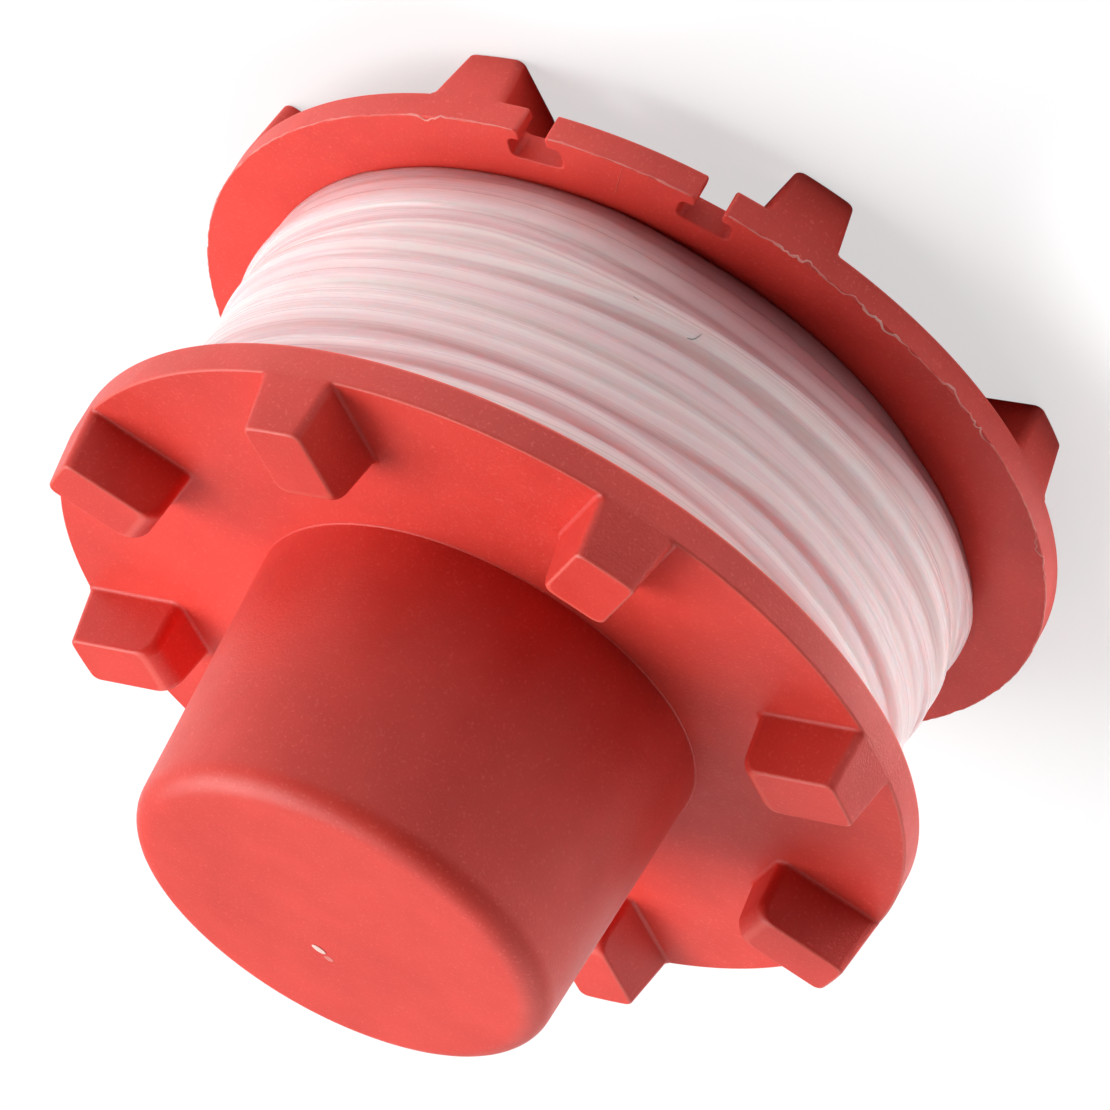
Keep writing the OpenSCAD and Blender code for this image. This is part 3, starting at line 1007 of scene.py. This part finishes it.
# Name, azimuth round Z from +X and elevation (degrees), width, height and power (W)
LAMPS = [
    ("key", 5, 45, 0.8, 0.7, 10.6),
    ("key_low", 5, 18, 0.7, 0.6, 0.6),
    ("key_high", 20, 70, 0.7, 0.7, 2.8),
    ("behind", 115, 30, 0.9, 0.9, 3.1),
    ("side", 165, 25, 0.9, 0.7, 1.4),
    ("sheen", 76, 28, 0.6, 0.6, 0.65),
    ("top", 100, 85, 0.8, 0.8, 1.0),
]
# Lamps straight above the floor round the spool. They light only the floor, and its bounce fills the spool.
FLOOR_LAMPS = ((-40, 9.0), (-75, 12.0), (-145, 9.0), (-180, 34.0))
FLOOR_LAMP_DISTANCE = 0.06
FLOOR_LAMP_HEIGHT = 0.5
FLOOR_LAMP_REACH = 0.026
# The photograph's camera, worked out from the flanges' rims, the lugs and the button
SENSOR_MM = 36.0
FOCAL_PIXELS = 6323.16
FRAME_PIXELS = 1110.0
CAMERA_RIGHT = (-0.89636791, 0.00804713, -0.44323787)
CAMERA_UP = (0.3733945, -0.52523738, -0.76465825)
CAMERA_BACK = (-0.2389584, -0.85091769, 0.46780118)
CAMERA_PLACE = (-0.10398636, -0.36890281, 0.21986493)


def linked(name, data):
    """A new object with its data, in the scene."""
    obj = bpy.data.objects.new(name, data)
    bpy.context.scene.collection.objects.link(obj)
    return obj


def placed(obj, right, up, back, place):
    """Turns an object to three axes, and moves it to a place."""
    rows = [(right[i], up[i], back[i], place[i]) for i in range(3)]
    obj.matrix_world = Matrix(rows + [(0, 0, 0, 1)])


def pale_floor():
    """A pale floor that keeps the object's shadow."""
    mesh = bpy.data.meshes.new("floor")
    s = FLOOR_HALF
    mesh.from_pydata([(-s, -s, 0), (s, -s, 0), (s, s, 0), (-s, s, 0)], [], [(0, 1, 2, 3)])
    floor = linked("floor", mesh)
    mat = bpy.data.materials.new("floor")
    mat.use_nodes = True
    tree = mat.node_tree
    tree.nodes.remove(tree.nodes["Principled BSDF"])
    lit = node(tree, "ShaderNodeBsdfDiffuse", Color=(FLOOR_GREY, FLOOR_GREY, FLOOR_GREY, 1))
    white = node(tree, "ShaderNodeEmission", Color=WHITE, Strength=1.0)
    share = node(tree, "ShaderNodeMath", operation="MULTIPLY")
    share.inputs[1].default_value = FLOOR_WHITE_SHARE
    tree.links.new(node(tree, "ShaderNodeLightPath").outputs["Is Camera Ray"], share.inputs[0])
    both = shaders_mixed(tree, share.outputs["Value"], lit.outputs["BSDF"], white.outputs["Emission"])
    tree.links.new(both, tree.nodes["Material Output"].inputs["Surface"])
    mesh.materials.append(mat)


def surroundings():
    """A world that the camera sees as white, with next to no light of its own."""
    world = bpy.data.worlds.new("world")
    bpy.context.scene.world = world
    world.use_nodes = True
    tree = world.node_tree
    light = tree.nodes["Background"]
    light.inputs["Color"].default_value = WHITE
    light.inputs["Strength"].default_value = WORLD_LIGHT
    white = node(tree, "ShaderNodeBackground", Strength=1.0)
    seen = node(tree, "ShaderNodeLightPath").outputs["Is Camera Ray"]
    both = shaders_mixed(tree, seen, light.outputs["Background"], white.outputs["Background"])
    tree.links.new(both, tree.nodes["World Output"].inputs["Surface"])


def soft_lamp(name, azimuth, elevation, width, height, power):
    light = bpy.data.lights.new(name, "AREA")
    light.energy = power
    light.shape = "RECTANGLE"
    light.size = width
    light.size_y = height
    a = math.radians(azimuth)
    e = math.radians(elevation)
    back = np.array([math.cos(a) * math.cos(e), math.sin(a) * math.cos(e), math.sin(e)])
    right = np.cross([0, 0, 1.0], back)
    right /= np.linalg.norm(right)
    place = np.array([0, 0, AIM_Z]) + back * LAMP_DISTANCE
    placed(linked(name, light), right, np.cross(back, right), back, place)


def floor_lamp(name, azimuth, power):
    light = bpy.data.lights.new(name, "SPOT")
    light.energy = power
    light.spot_size = 2 * math.atan(FLOOR_LAMP_REACH / FLOOR_LAMP_HEIGHT)
    light.spot_blend = 1.0
    light.shadow_soft_size = 0.002
    a = math.radians(azimuth)
    place = (FLOOR_LAMP_DISTANCE * math.cos(a), FLOOR_LAMP_DISTANCE * math.sin(a), FLOOR_LAMP_HEIGHT)
    linked(name, light).location = place


def camera():
    data = bpy.data.cameras.new("camera")
    data.sensor_width = SENSOR_MM
    data.lens = SENSOR_MM * FOCAL_PIXELS / FRAME_PIXELS
    data.clip_start = 0.01
    data.clip_end = 20.0
    obj = linked("camera", data)
    placed(obj, CAMERA_RIGHT, CAMERA_UP, CAMERA_BACK, CAMERA_PLACE)
    bpy.context.scene.camera = obj


camera()
pale_floor()
surroundings()
for lamp in LAMPS:
    soft_lamp(*lamp)
for number, (azimuth, power) in enumerate(FLOOR_LAMPS):
    floor_lamp(f"floor_lamp_{number}", azimuth, power)

red = red_plastic()
nylon = line_nylon()
body = moulding(red)
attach(body, "root")
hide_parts("spool_body")
turns = wound_line(nylon)
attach(turns, "root")
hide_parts("wound_line")

bpy.context.scene.view_settings.view_transform = "Standard"
